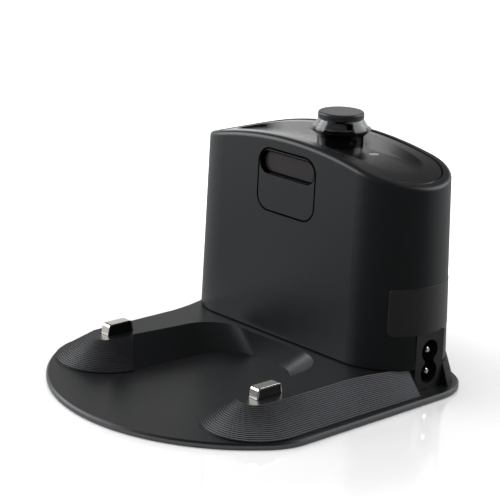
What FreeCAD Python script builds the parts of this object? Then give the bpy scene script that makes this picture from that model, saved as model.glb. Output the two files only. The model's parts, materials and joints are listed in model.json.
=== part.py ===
import FreeCAD, Part
import Sketcher
import math
import os
import re

doc = FreeCAD.newDocument("charging_dock")

# Driving dimensions of the dock, in millimetres and degrees.
# The dock stands on its feet at z = 0, its front is -Y and the mains inlet is on +X.
dimensions = {
    # base plate
    "base_half_width": 67.0,
    "base_front": 71.3,
    "base_back": 71.3,
    "front_arc_margin": 8.0,
    "front_corner_radius": 25.0,
    "back_corner_radius": 22.5,
    "foot_height": 0.4,
    "foot_radius": 4.5,
    "plate_thickness": 2.0,
    "rim_chamfer": 0.7,
    # terraced ridge with its two arms
    "ridge_height": 9.1,
    "arm_centre": 43.7,
    "arm_front": 27.5,
    "arm_top_radius": 7.0,
    "arm_foot_radius": 20.4,
    "terrace_count": 20,
    "flare_start": 12.0,
    "deck_wall": 2.0,
    "rear_margin": 1.0,
    # caster bay between the arms
    "bay_back": 19.6,
    "bay_corner_radius": 17.0,
    "bay_wall_lean": 0.8,
    "bay_taper": 3.0,
    "bay_floor_taper": 1.5,
    "bay_lead": 2.8,
    "bay_lead_back": 7.0,
    # tower
    "tower_end_centre": 37.6,
    "tower_end_radius": 23.2,
    "tower_y": 46.9,
    "tower_draft": 1.6,
    "tower_wall": 2.2,
    "tower_lip_width": 3.0,
    "lip_radius": 1.8,
    "lip_apex": 91.8,
    "lip_arch_radius": 185.0,
    "locating_lip_height": 2.0,
    "locating_lip_width": 1.2,
    "foot_chamfer": 0.5,
    # gloss cover sunk in the top
    "cover_recess": 0.3,
    "cover_groove": 0.8,
    "cover_floor_apex": 87.7,
    "cover_floor_radius": 360.0,
    "cover_thickness": 1.4,
    "cover_rim": 2.4,
    "cover_bevel_angle": 40.0,
    "seat_thickness": 2.4,
    # beacon
    "beacon_x": 3.3,
    "beacon_y": 50.8,
    "collar_radius": 9.2,
    "collar_top": 91.0,
    "collar_sink": 0.3,
    "flange_radius": 12.0,
    "flange_top": 94.0,
    "flange_edge": 0.4,
    "spigot_radius": 7.4,
    "spigot_length": 3.6,
    "beacon_bore": 6.5,
    "lens_height": 4.1,
    "lens_foot_radius": 11.4,
    "lens_top_radius": 8.7,
    "lens_wall": 1.6,
    "cap_radius": 9.15,
    "cap_height": 2.5,
    "cap_edge_radius": 0.8,
    "reflector_radius": 6.6,
    "reflector_height": 3.3,
    "reflector_edge": 0.4,
    # indicator light
    "indicator_x": 22.0,
    "indicator_radius": 2.0,
    # front window
    "window_z": 74.0,
    "window_width": 31.5,
    "window_height": 24.5,
    "window_corner": 6.0,
    "window_flange": 1.0,
    "window_flange_thickness": 1.4,
    "slot_width": 30.2,
    "slot_height": 8.7,
    "slot_rise": 6.85,
    "slot_depth": 1.9,
    "ir_window_lap": 0.8,
    "ir_window_thickness": 1.2,
    # charging contacts
    "contact_y": -22.5,
    "contact_width": 4.3,
    "contact_top_length": 11.1,
    "contact_foot_length": 12.6,
    "contact_rise": 4.3,
    "contact_thickness": 0.65,
    "contact_bend": 1.3,
    "contact_travel": 2.4,
    "slider_width": 7.6,
    "slider_length": 14.4,
    "slider_height": 3.4,
    "slider_leg_depth": 2.2,
    "spring_pocket_depth": 1.6,
    "spring_radius": 2.3,
    "spring_wire_radius": 0.25,
    "spring_turns": 4,
    "spring_post_radius": 1.5,
    "spring_wire_sides": 6,
    "spring_post_height": 0.9,
    "guide_thickness": 1.4,
    "guide_height": 2.8,
    # mains inlet
    "inlet_face": 59.7,
    "inlet_y": 47.6,
    "inlet_z": 13.6,
    "inlet_width": 15.2,
    "inlet_depth": 18.0,
    "inlet_top": 25.3,
    "inlet_pin_spacing": 8.6,
    "inlet_pin_radius": 1.18,
    "inlet_pin_tip": 0.4,
    "inlet_pin_setback": 0.9,
    "inlet_tail_radius": 0.9,
    "inlet_socket_radius": 4.4,
    "inlet_socket_depth": 12.0,
    "inlet_waist": 5.0,
    "inlet_tab_length": 5.0,
    # bottom cover
    "cover_plate_thickness": 1.8,
    "cover_ledge": 1.6,
    "cover_ledge_gap": 0.1,
    # screws
    "screw_radius": 1.3,
    "screw_head_radius": 2.6,
    "screw_head_height": 1.8,
    "screw_length": 8.0,
    "small_screw_length": 4.6,
    "boss_radius": 3.2,
    "boss_inset": 2.5,
    "boss_angle": 58.8,
    "boss_height": 24.0,
    "tab_radius": 4.6,
    "tab_thickness": 2.2,
    "arm_screw_y": 6.0,
    "rear_screw_x": 20.0,
    "rear_screw_inset": 5.0,
    "cup_height": 1.6,
    "cup_radius": 4.2,
    # power supply
    "board_x": -3.0,
    "board_y": 43.4,
    "board_length": 78.0,
    "board_width": 28.0,
    "board_thickness": 1.6,
    "board_post_height": 5.0,
    "board_post_radius": 3.0,
    "board_hole_inset": 4.0,
    "transformer_dx": -9.0,
    "transformer_dy": -2.0,
    "transformer_length": 24.0,
    "transformer_width": 18.0,
    "transformer_height": 21.0,
    "winding_margin": 3.0,
    "bulk_capacitor_dx": 11.0,
    "bulk_capacitor_dy": -6.0,
    "bulk_capacitor_radius": 6.25,
    "bulk_capacitor_height": 25.0,
    "output_capacitor_dx": -26.0,
    "output_capacitor_dy": -7.0,
    "output_capacitor_radius": 4.0,
    "output_capacitor_height": 14.0,
    "choke_dx": 26.6,
    "choke_dy": -0.3,
    "choke_bore": 2.5,
    "choke_radius": 8.4,
    "choke_height": 6.0,
    "choke_edge": 1.6,
    "fuse_dx": 21.0,
    "fuse_dy": 11.2,
    "fuse_radius": 2.6,
    "fuse_length": 20.0,
    "rectifier_dx": 27.0,
    "rectifier_dy": -11.4,
    "rectifier_length": 9.0,
    "rectifier_width": 3.75,
    "rectifier_height": 8.0,
    "heat_sink_dx": -24.5,
    "heat_sink_dy": 10.8,
    "heat_sink_length": 14.0,
    "heat_sink_height": 22.0,
    "heat_sink_thickness": 1.6,
    "fin_count": 5,
    "fin_thickness": 1.2,
    "fin_depth": 2.4,
    "transistor_width": 10.0,
    "transistor_thickness": 2.6,
    "transistor_height": 15.0,
    "connector_dx": -34.8,
    "connector_width": 6.0,
    "connector_length": 12.0,
    "connector_height": 8.0,
    # light boards
    "beacon_board_length": 48.0,
    "beacon_board_width": 16.0,
    "beacon_board_x": 10.0,
    "beacon_post_inset": 4.0,
    "post_radius": 2.6,
    "diode_radius": 2.5,
    "diode_height": 8.6,
    "indicator_diode_radius": 1.5,
    "indicator_diode_height": 1.6,
    "front_board_length": 34.0,
    "front_board_height": 22.0,
    "front_board_setback": 13.0,
    "front_diode_spacing": 14.0,
    # fits
    "fit_gap": 0.15,
    "slide_gap": 0.3,
    "seam_gap": 0.4,
}

sizes = doc.addObject("Spreadsheet::Sheet", "sizes")
for row, (alias, value) in enumerate(dimensions.items(), start=1):
    sizes.set(f"A{row}", alias.replace("_", " "))
    sizes.set(f"B{row}", str(value))
    sizes.setAlias(f"B{row}", alias)
doc.recompute()

# Heights and places that follow from the driving dimensions.
derived = {
    "front_arc_radius": "(base_half_width + front_arc_margin)",
    "boss_reach": "(tower_end_radius - tower_wall - boss_inset)",
    "plate_top": "(foot_height + plate_thickness)",
    "ridge_top": "(foot_height + plate_thickness + ridge_height)",
    "cover_top": "(foot_height + cover_plate_thickness)",
    "ledge_z": "(foot_height + cover_plate_thickness + cover_ledge_gap)",
    "ceiling_z": "(foot_height + plate_thickness + ridge_height - deck_wall)",
    "tower_inner_radius": "(tower_end_radius - tower_wall)",
    "opening_radius": "(tower_end_radius - tower_wall - slide_gap - locating_lip_width)",
    "seat_radius": "(tower_end_radius - (lip_apex - foot_height - plate_thickness - ridge_height)"
                   " * tan(tower_draft) - tower_lip_width)",
    "top_radius": "(seat_radius - cover_groove)",
    "edge_drop": "(cover_recess + cover_thickness)",
    "seat_drop": "(cover_recess + cover_thickness + fit_gap)",
    "ceiling_drop": "(cover_recess + cover_thickness + fit_gap + seat_thickness)",
    "tray_depth": "(lip_apex - cover_recess - cover_floor_apex)",
    "tray_slope": "tan(cover_bevel_angle)",
    "shoulder_z": "(cover_floor_apex - collar_sink)",
    "beacon_board_top": "(cover_floor_apex - cover_thickness - spigot_length)",
    "lens_top": "(flange_top + lens_height)",
    "slider_top": "(foot_height + plate_thickness + ridge_height - deck_wall - slide_gap)",
    "board_bottom": "(foot_height + cover_plate_thickness + board_post_height)",
    "board_top": "(foot_height + cover_plate_thickness + board_post_height + board_thickness)",
    "boss_x": "(tower_end_centre + boss_reach * cos(boss_angle))",
    "boss_dy": "(boss_reach * sin(boss_angle))",
    "tab_bottom": "(foot_height + plate_thickness + ridge_height - tab_thickness)",
    "rear_screw_y": "(tower_y + opening_radius - rear_screw_inset)",
    "cup_top": "(foot_height + cover_plate_thickness + cup_height)",
    "leg_half": "(contact_foot_length / 2)",
    "core_half": "(contact_foot_length / 2 - contact_thickness)",
    "pin_seat": "(inlet_face - inlet_depth - inlet_tab_length)",
    "pin_neck": "(inlet_tab_length + inlet_depth - inlet_socket_depth + slide_gap)",
    "pin_length": "(inlet_tab_length + inlet_depth - inlet_pin_setback)",
}


def linked(expression):
    # an expression with each size written as a cell of the sheet
    text = str(expression)
    while any(re.search(rf"\b{name}\b", text) for name in derived):
        text = re.sub(r"\b[a-z][a-z_0-9]*\b", lambda word: derived.get(word[0], word[0]), text)
    return re.sub(r"\b[a-z][a-z_0-9]*\b",
                  lambda word: "sizes." + word[0] if word[0] in dimensions else word[0], text)


def number(expression):
    return float(sizes.evalExpression(linked(expression)))


def bind(obj, expressions):
    for prop, expression in expressions.items():
        obj.setExpression(prop, linked(expression))


def place(obj, x, y, z):
    bind(obj, {"Placement.Base.x": x, "Placement.Base.y": y, "Placement.Base.z": z})


nodes = {}


def finish(obj, label):
    obj.Label = label
    nodes[label] = obj
    return obj


# Primitives and booleans

def box(name, length, width, height, x, y, z):
    # a block centred on x and y, standing on z
    solid = doc.addObject("Part::Box", name)
    bind(solid, {"Length": length, "Width": width, "Height": height})
    place(solid, f"({x}) - ({length}) / 2", f"({y}) - ({width}) / 2", z)
    return solid


axis_turns = {
    "z": FreeCAD.Rotation(),
    "x": FreeCAD.Rotation(FreeCAD.Vector(0, 1, 0), 90),
    "y": FreeCAD.Rotation(FreeCAD.Vector(1, 0, 0), -90),
}


def cylinder(name, radius, height, x, y, z, axis="z"):
    solid = doc.addObject("Part::Cylinder", name)
    bind(solid, {"Radius": radius, "Height": height})
    solid.Placement = FreeCAD.Placement(FreeCAD.Vector(), axis_turns[axis])
    place(solid, x, y, z)
    return solid


def fuse(name, *solids):
    result = doc.addObject("Part::MultiFuse", name)
    result.Shapes = list(solids)
    result.Refine = True
    return result


def cut(name, base, *tools):
    result = doc.addObject("Part::Cut", name)
    result.Base = base
    result.Tool = tools[0] if len(tools) == 1 else fuse(name + "_tools", *tools)
    result.Refine = True
    return result


def common(name, first, second):
    result = doc.addObject("Part::Common", name)
    result.Base = first
    result.Tool = second
    return result


def group(name, solids):
    result = doc.addObject("Part::Compound", name)
    result.Links = solids
    return result


def rounded(name, base, radius, wanted, kind="Part::Fillet"):
    # fillets or chamfers the edges of base for which wanted(edge) holds
    doc.recompute()
    result = doc.addObject(kind, name)
    result.Base = base
    value = number(radius)
    result.Edges = [(i, value, value) for i, edge in enumerate(base.Shape.Edges, start=1) if wanted(edge)]
    return result


def runs_along(axis):
    # true for straight edges parallel to one axis
    def test(edge):
        if len(edge.Vertexes) < 2 or not isinstance(edge.Curve, (Part.Line, Part.LineSegment)):
            return False
        return abs(edge.tangentAt(edge.FirstParameter).dot(axis)) > 0.999
    return test


def rounded_block(name, length, depth, height, corner, x, y, z):
    # a plate facing the front, its four corners rounded, centred on x and z and starting at y
    block = box(name + "_block", length, depth, height, x, f"({y}) + ({depth}) / 2",
                f"({z}) - ({height}) / 2")
    return rounded(name, block, corner, runs_along(FreeCAD.Vector(0, 1, 0)))


# Sketches and bodies

def new_sketch(body, name, plane, height="0"):
    sketch = body.newObject("Sketcher::SketchObject", name)
    support = [feature for feature in body.Origin.OriginFeatures if feature.Role == plane][0]
    sketch.AttachmentSupport = [(support, "")]
    sketch.MapMode = "FlatFace"
    bind(sketch, {"AttachmentOffset.Base.z": height})
    return sketch


def pin(sketch, geometry, point, direction, expression):
    # holds one coordinate of a sketch point at a size from the sheet
    value = number(expression)
    if abs(value) < 1e-6:
        axis = -2 if direction == "DistanceX" else -1
        sketch.addConstraint(Sketcher.Constraint("PointOnObject", geometry, point, axis))
    elif value > 0:
        index = sketch.addConstraint(Sketcher.Constraint(direction, -1, 1, geometry, point, value))
        bind(sketch, {f"Constraints[{index}]": expression})
    else:
        index = sketch.addConstraint(Sketcher.Constraint(direction, geometry, point, -1, 1, -value))
        bind(sketch, {f"Constraints[{index}]": f"-({expression})"})


def polygon_sketch(body, name, plane, points, height="0"):
    sketch = new_sketch(body, name, plane, height)
    corners = [FreeCAD.Vector(number(u), number(v), 0) for u, v in points]
    count = len(corners)
    for i in range(count):
        sketch.addGeometry(Part.LineSegment(corners[i], corners[(i + 1) % count]), False)
    for i in range(count):
        sketch.addConstraint(Sketcher.Constraint("Coincident", i, 2, (i + 1) % count, 1))
    for i, (u, v) in enumerate(points):
        pin(sketch, i, 1, "DistanceX", u)
        pin(sketch, i, 1, "DistanceY", v)
    return sketch


def stadium_sketch(body, name, half_length, radius, centre_y, height):
    # two straight sides along X joined by half circles
    sketch = new_sketch(body, name, "XY_Plane", height)
    half, r, y = number(half_length), number(radius), number(centre_y)
    up = FreeCAD.Vector(0, 0, 1)
    right = Part.Circle(FreeCAD.Vector(half, y, 0), up, r)
    left = Part.Circle(FreeCAD.Vector(-half, y, 0), up, r)
    quarter = math.pi / 2
    sketch.addGeometry(Part.ArcOfCircle(right, -quarter, quarter), False)
    sketch.addGeometry(Part.LineSegment(FreeCAD.Vector(half, y + r, 0), FreeCAD.Vector(-half, y + r, 0)),
                       False)
    sketch.addGeometry(Part.ArcOfCircle(left, quarter, 3 * quarter), False)
    sketch.addGeometry(Part.LineSegment(FreeCAD.Vector(-half, y - r, 0), FreeCAD.Vector(half, y - r, 0)),
                       False)
    for i in range(4):
        sketch.addConstraint(Sketcher.Constraint("Tangent", i, 2, (i + 1) % 4, 1))
    sketch.addConstraint(Sketcher.Constraint("Equal", 0, 2))
    index = sketch.addConstraint(Sketcher.Constraint("Radius", 0, r))
    bind(sketch, {f"Constraints[{index}]": radius})
    for geometry, sign in ((0, "1"), (2, "-1")):
        pin(sketch, geometry, 3, "DistanceX", f"{sign} * ({half_length})")
        pin(sketch, geometry, 3, "DistanceY", centre_y)
    return sketch


def pad(body, sketch, length, taper="0", symmetric=False):
    feature = body.newObject("PartDesign::Pad", sketch.Name + "_pad")
    feature.Profile = sketch
    if symmetric:
        feature.SideType = "Symmetric"
    bind(feature, {"Length": length, "TaperAngle": taper})
    return feature


def stadium(name, half_length, radius, bottom, height, taper="0"):
    body = doc.addObject("PartDesign::Body", name)
    pad(body, stadium_sketch(body, name + "_outline", half_length, radius, "tower_y", bottom), height, taper)
    return body


def turned(name, profile, x="0", y="0", z="0"):
    # a piece turned about its own vertical axis, from a half profile of (radius, height) points
    body = doc.addObject("PartDesign::Body", name)
    sketch = polygon_sketch(body, name + "_profile", "XZ_Plane", profile)
    turn = body.newObject("PartDesign::Revolution", name + "_turn")
    turn.Profile = sketch
    turn.ReferenceAxis = (sketch, ["V_Axis"])
    turn.Angle = 360
    place(body, x, y, z)
    return body


def screw(name, length, x, y, z, turn=FreeCAD.Rotation()):
    # pan head on z, shank upwards; turn points it another way
    profile = [("0", "-screw_head_height"), ("screw_head_radius", "-screw_head_height"),
               ("screw_head_radius", "0"), ("screw_radius", "0"), ("screw_radius", length), ("0", length)]
    body = turned(name, profile)
    body.Placement = FreeCAD.Placement(FreeCAD.Vector(), turn)
    place(body, x, y, z)
    return body


# Tower: drafted stadium under an arched top, hollow, with a rounded lip and a sunk seat for the cover

def barrel(name, radius, apex):
    # everything under an arch of this radius whose top is at apex
    return cylinder(name, radius, "4 * tower_end_radius", "0", "tower_y - 2 * tower_end_radius",
                    f"({apex}) - ({radius})", "y")


def drafted(name, radius, bottom):
    return stadium(name, "tower_end_centre", radius, bottom, "lip_apex", "-tower_draft")


corners = [(side, end) for side in ("1", "-1") for end in ("1", "-1")]

tower_block = common("tower_block", drafted("tower_outer", "tower_end_radius", "ridge_top"),
                     barrel("lip_arch", "lip_arch_radius", "lip_apex"))
doc.recompute()
arch_radius = number("lip_arch_radius")
top_face = [face for face in tower_block.Shape.Faces
            if isinstance(face.Surface, Part.Cylinder) and abs(face.Surface.Radius - arch_radius) < 1e-3][0]
lip_edges = [edge.hashCode() for edge in top_face.Edges]
tower_lipped = rounded("tower_lipped", tower_block, "lip_radius", lambda edge: edge.hashCode() in lip_edges)
foot_z = number("ridge_top")
tower_eased = rounded("tower_eased", tower_lipped, "foot_chamfer",
                      lambda edge: edge.BoundBox.ZMax < foot_z + 1e-6, "Part::Chamfer")
tower_room = common("tower_room", drafted("tower_inner", "tower_inner_radius", "ridge_top - 1"),
                    barrel("ceiling_arch", "lip_arch_radius - ceiling_drop", "lip_apex - ceiling_drop"))
cover_seat = cut("cover_seat",
                 stadium("seat_outline", "tower_end_centre", "seat_radius", "ridge_top", "lip_apex"),
                 barrel("seat_arch", "lip_arch_radius - seat_drop", "lip_apex - seat_drop"))


def tray_shape(name, spread):
    # the bevelled hollow of the cover, widening upwards; spread moves its sides outwards
    return stadium(name, "tower_end_centre",
                   f"top_radius - cover_rim + {spread} - 2 * tray_depth * tray_slope",
                   "cover_floor_apex - tray_depth", "3 * tray_depth", "cover_bevel_angle")


skin = "cover_thickness / cos(cover_bevel_angle)"
tray_room = tray_shape("tray_room", f"({skin} + 2 * fit_gap)")
window_hole = rounded_block("window_hole", "window_width + 2 * seam_gap", "4 * tower_wall",
                            "window_height + 2 * seam_gap", "window_corner + seam_gap", "0",
                            "-2 * tower_wall", "0")
window_tilt = FreeCAD.Rotation(FreeCAD.Vector(-1, 0, 0), number("tower_draft"))


def at_window(obj):
    # moves a piece drawn at the origin onto the leaning front wall
    obj.Placement = FreeCAD.Placement(FreeCAD.Vector(), window_tilt)
    place(obj, "0", "tower_y - tower_end_radius + (window_z - ridge_top) * tan(tower_draft)", "window_z")
    bind(obj, {"Placement.Rotation.Angle": "tower_draft"})
    return obj


at_window(window_hole)
inlet_hole = box("inlet_hole", "2 * inlet_depth", "inlet_width + 2 * fit_gap", "inlet_top + fit_gap",
                 "inlet_face", "inlet_y", "0")
tower_hollow = cut("tower_hollow", tower_eased, tower_room, cover_seat, tray_room, window_hole, inlet_hole)

tower_bosses = []
tower_pilots = []
for i, (side, end) in enumerate(corners):
    x, y = f"{side} * boss_x", f"tower_y + {end} * boss_dy"
    tower_bosses.append(cylinder(f"tower_boss_{i}", "boss_radius", "boss_height", x, y, "ridge_top"))
    tower_pilots.append(cylinder(f"tower_pilot_{i}", "screw_radius + fit_gap", "screw_length", x, y,
                                 "ridge_top"))
finish(cut("tower_shell", fuse("tower_bossed", tower_hollow, *tower_bosses), *tower_pilots), "tower_shell")

# Gloss cover: a tray whose edge follows the lip's arch and whose floor is flatter, bevelled up to the edge
cover_block = common("cover_block",
                     stadium("cover_outline", "tower_end_centre", "top_radius", "ridge_top", "lip_apex"),
                     barrel("cover_top_arch", "lip_arch_radius - cover_recess", "lip_apex - cover_recess"))
tub = cut("tub", tray_shape("tub_outline", f"({skin})"),
          barrel("cover_underside", "cover_floor_radius", "cover_floor_apex - cover_thickness"))
below_cover = cut("below_cover", barrel("cover_edge_arch", "lip_arch_radius - edge_drop",
                                        "lip_apex - edge_drop"), tub)
tray = cut("tray", tray_shape("tray_outline", "0"),
           barrel("tray_floor", "cover_floor_radius", "cover_floor_apex"))
board_posts = []
board_pilots = []
beacon_holes = []
post_places = [f"(beacon_board_x + {side} * (beacon_board_length / 2 - beacon_post_inset))"
               for side in ("1", "-1")]
for i, x in enumerate(post_places):
    post_top = f"cover_floor_apex - {x} * {x} / (2 * cover_floor_radius) - cover_thickness / 2"
    board_posts.append(cylinder(f"beacon_post_{i}", "post_radius", f"{post_top} - beacon_board_top", x,
                                "beacon_y",
                                "beacon_board_top"))
    board_pilots.append(cylinder(f"beacon_pilot_{i}", "screw_radius + fit_gap",
                                 "small_screw_length - board_thickness", x, "beacon_y", "beacon_board_top"))
    beacon_holes.append(cylinder(f"beacon_board_hole_{i}", "screw_radius + fit_gap", "3 * board_thickness",
                                 x,
                                 "beacon_y", "beacon_board_top - 2 * board_thickness"))
cover_dished = cut("cover_dished", cut("cover_whole", cover_block, below_cover), tray)
finish(cut("top_cover", fuse("cover_blank", cover_dished, *board_posts),
           cylinder("collar_room", "collar_radius + fit_gap", "lip_apex", "beacon_x", "beacon_y",
                    "shoulder_z"),
           cylinder("spigot_hole", "spigot_radius + fit_gap", "lip_apex", "beacon_x", "beacon_y",
                    "ridge_top"),
           cylinder("lens_hole", "indicator_radius + fit_gap", "lip_apex", "indicator_x", "beacon_y",
                    "ridge_top"),
           *board_pilots), "top_cover")

# Beacon: flared base, clear ring, cap and the cone that spreads the light
finish(turned("beacon_base", [
    ("beacon_bore", "beacon_board_top"), ("spigot_radius", "beacon_board_top"),
    ("spigot_radius", "shoulder_z"),
    ("collar_radius", "shoulder_z"), ("collar_radius", "collar_top"),
    ("flange_radius", "flange_top - flange_edge"), ("flange_radius", "flange_top"),
    ("beacon_bore", "flange_top")], x="beacon_x", y="beacon_y"), "beacon_base")
finish(turned("beacon_lens", [
    ("lens_foot_radius - lens_wall", "flange_top"), ("lens_foot_radius", "flange_top"),
    ("lens_top_radius", "lens_top"), ("lens_top_radius - lens_wall", "lens_top")], x="beacon_x",
    y="beacon_y"), "beacon_lens")
cap = turned("beacon_cap_disc", [
    ("0", "lens_top"), ("cap_radius", "lens_top"), ("cap_radius", "lens_top + cap_height"),
    ("0", "lens_top + cap_height")], x="beacon_x", y="beacon_y")
cap_rim = number("lens_top + cap_height / 2")
finish(rounded("beacon_cap", cap, "cap_edge_radius",
               lambda edge: isinstance(edge.Curve, Part.Circle) and edge.BoundBox.ZMin > cap_rim),
               "beacon_cap")
finish(turned("beacon_reflector", [
    ("0", "lens_top - reflector_height"), ("reflector_radius", "lens_top - reflector_edge"),
    ("reflector_radius", "lens_top"), ("0", "lens_top")], x="beacon_x", y="beacon_y"), "beacon_reflector")
finish(turned("beacon_emitter", [
    ("0", "beacon_board_top"), ("diode_radius", "beacon_board_top"),
    ("diode_radius", "beacon_board_top + diode_height - diode_radius"),
    ("diode_radius / 2", "beacon_board_top + diode_height"),
    ("0", "beacon_board_top + diode_height")], x="beacon_x", y="beacon_y"), "beacon_emitter")
finish(cut("beacon_board",
           box("beacon_board_blank", "beacon_board_length", "beacon_board_width", "board_thickness",
               "beacon_board_x", "beacon_y", "beacon_board_top - board_thickness"), *beacon_holes),
               "beacon_board")
finish(cylinder("indicator_diode", "indicator_diode_radius", "indicator_diode_height", "indicator_x",
                "beacon_y",
                "beacon_board_top"), "indicator_diode")
indicator_floor = "cover_floor_apex - indicator_x * indicator_x / (2 * cover_floor_radius)"
finish(cylinder("indicator_lens", "indicator_radius",
                f"{indicator_floor} - beacon_board_top - indicator_diode_height - fit_gap",
                "indicator_x", "beacon_y", "beacon_board_top + indicator_diode_height + fit_gap"),
                "indicator_lens")

# Front window: flush insert clipped from inside, with a sunk slot that ends at the infrared window
flange_y = "tower_wall + fit_gap"
insert = rounded_block("insert", "window_width", "tower_wall + fit_gap + window_flange_thickness",
                       "window_height",
                       "window_corner", "0", "0", "0")
insert_flange = rounded_block("insert_flange", "window_width + 2 * window_flange", "window_flange_thickness",
                              "window_height + 2 * window_flange", "window_corner + window_flange", "0",
                              flange_y, "0")
slot = rounded_block("slot", "slot_width", "4 * slot_depth", "slot_height", "slot_height / 2 - fit_gap", "0",
                     "-slot_depth", "slot_rise")
pane_width, pane_height = "slot_width + 2 * ir_window_lap", "slot_height + 2 * ir_window_lap"
pane_room = rounded_block("pane_room", f"{pane_width} + 2 * fit_gap", "4 * slot_depth",
                          f"{pane_height} + 2 * fit_gap",
                          "slot_height / 2 + ir_window_lap", "0", "slot_depth", "slot_rise")
front_posts = []
front_pilots = []
front_holes = []
post_x = "(slot_width / 2 - post_radius)"
post_z = "(-window_height / 2 + post_radius)"
for i, side in enumerate(("1", "-1")):
    front_posts.append(cylinder(f"front_post_{i}", "post_radius", f"front_board_setback - ({flange_y})",
                                f"{side} * {post_x}", flange_y, post_z, "y"))
    front_pilots.append(cylinder(f"front_pilot_{i}", "screw_radius + fit_gap", "small_screw_length",
                                 f"{side} * {post_x}",
                                 "front_board_setback + board_thickness - small_screw_length",
                                 post_z, "y"))
    front_holes.append(cylinder(f"front_board_hole_{i}", "screw_radius + fit_gap", "3 * board_thickness",
                                f"{side} * {post_x}", "front_board_setback - board_thickness", post_z, "y"))
finish(at_window(cut("window_bezel", fuse("bezel_blank", insert, insert_flange, *front_posts), slot,
                     pane_room,
                     *front_pilots)), "window_bezel")
finish(at_window(rounded_block("ir_window", pane_width, "ir_window_thickness", pane_height,
                               "slot_height / 2 + ir_window_lap - fit_gap", "0", "slot_depth",
                               "slot_rise")), "ir_window")
finish(at_window(cut("front_board",
                     box("front_board_blank", "front_board_length", "board_thickness", "front_board_height",
                         "0",
                         "front_board_setback + board_thickness / 2", "-front_board_height / 2"),
                     *front_holes)), "front_board")
front_diodes = [cylinder(f"front_diode_{i}", "diode_radius",
                         "front_board_setback - slot_depth - ir_window_thickness - slide_gap",
                         f"{side} * front_diode_spacing / 2", "slot_depth + ir_window_thickness + slide_gap",
                         "slot_rise", "y") for i, side in enumerate(("1", "-1"))]
finish(at_window(group("front_emitters", front_diodes)), "front_emitters")


# Base deck: plate, terraced U ridge, smooth caster bay, hollow arms and the opening under the tower

def flat_wire(edges):
    return Part.Wire(Part.__sortEdges__(edges))


def vector(x, y, z):
    return FreeCAD.Vector(x, y, z)


def prism(wire, height):
    return Part.Face(wire).extrude(vector(0, 0, height))


def plate_solid(bottom, height):
    # the base outline: bowed front, straight sides, rounded corners
    half, back, radius = number("base_half_width"), number("base_back"), number("front_arc_radius")
    bow_y = radius - number("base_front")
    bowed = Part.makeCylinder(radius, height, vector(0, bow_y, bottom))
    front_half = Part.makeBox(2 * half, 2 * radius, height, vector(-half, bow_y - 2 * radius, bottom))
    back_half = Part.makeBox(2 * half, back - bow_y, height, vector(-half, bow_y, bottom))
    outline = bowed.common(front_half).fuse(back_half).removeSplitter()
    upright = runs_along(vector(0, 0, 1))
    front_corners = [edge for edge in outline.Edges if upright(edge) and edge.CenterOfMass.y < bow_y]
    outline = outline.makeFillet(number("front_corner_radius"), front_corners)
    back_corners = [edge for edge in outline.Edges if upright(edge) and edge.CenterOfMass.y > back - 1e-3]
    return outline.makeFillet(number("back_corner_radius"), back_corners)


def mix(low, high, share):
    return low + (high - low) * share


def ridge_outline(share, z):
    # outline of the ridge from its foot (share 0) to its top (share 1), with the space between the arms open
    arm = number("arm_centre")
    front = -number("arm_front")
    radius = mix(number("arm_foot_radius"), number("arm_top_radius"), share)
    end_x, end_r, mid_y = number("tower_end_centre"), number("tower_end_radius"), number("tower_y")
    margin = number("rear_margin")
    flare = number("flare_start")
    slant = math.sqrt(0.5)
    foot_x = arm + number("arm_foot_radius")
    foot_corner = number("back_corner_radius") - margin
    foot_back = number("base_back") - margin
    foot = [(foot_x, flare), (foot_x + 0.3, (flare + mid_y) / 2), (foot_x, foot_back - foot_corner),
            (foot_x - foot_corner * (1 - slant), foot_back - foot_corner * (1 - slant)),
            (foot_x - foot_corner, foot_back)]
    top_x = arm + number("arm_top_radius")
    top_r = end_r + margin / 2
    top = [(top_x, flare), (mix(top_x, end_x + top_r, 0.3), mix(flare, mid_y, 0.5)), (end_x + top_r, mid_y),
           (end_x + top_r * slant, mid_y + top_r * slant), (end_x, mid_y + top_r)]
    side = [vector(mix(a[0], b[0], share), mix(a[1], b[1], share), z) for a, b in zip(foot, top)]
    flip = [vector(-p.x, p.y, z) for p in side]
    inner = arm - radius
    narrow = inner - number("bay_taper") - radius / 10
    bay_y = number("bay_back") - number("bay_corner_radius")
    edges = [Part.LineSegment(flip[4], side[4]).toShape()]
    for sign, line in ((1, side), (-1, flip)):
        outer_front = vector(sign * (arm + radius), front, z)
        inner_front = vector(sign * inner, front, z)
        inner_back = vector(sign * narrow, bay_y, z)
        tip = vector(sign * arm, front - radius, z)
        edges.append(Part.Arc(line[4], line[3], line[2]).toShape())
        edges.append(Part.Arc(line[2], line[1], line[0]).toShape())
        edges.append(Part.LineSegment(line[0], outer_front).toShape())
        edges.append(Part.Arc(outer_front, tip, inner_front).toShape())
        edges.append(Part.LineSegment(inner_front, inner_back).toShape())
    edges.append(Part.LineSegment(vector(-narrow, bay_y, z), vector(narrow, bay_y, z)).toShape())
    return flat_wire(edges)


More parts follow.
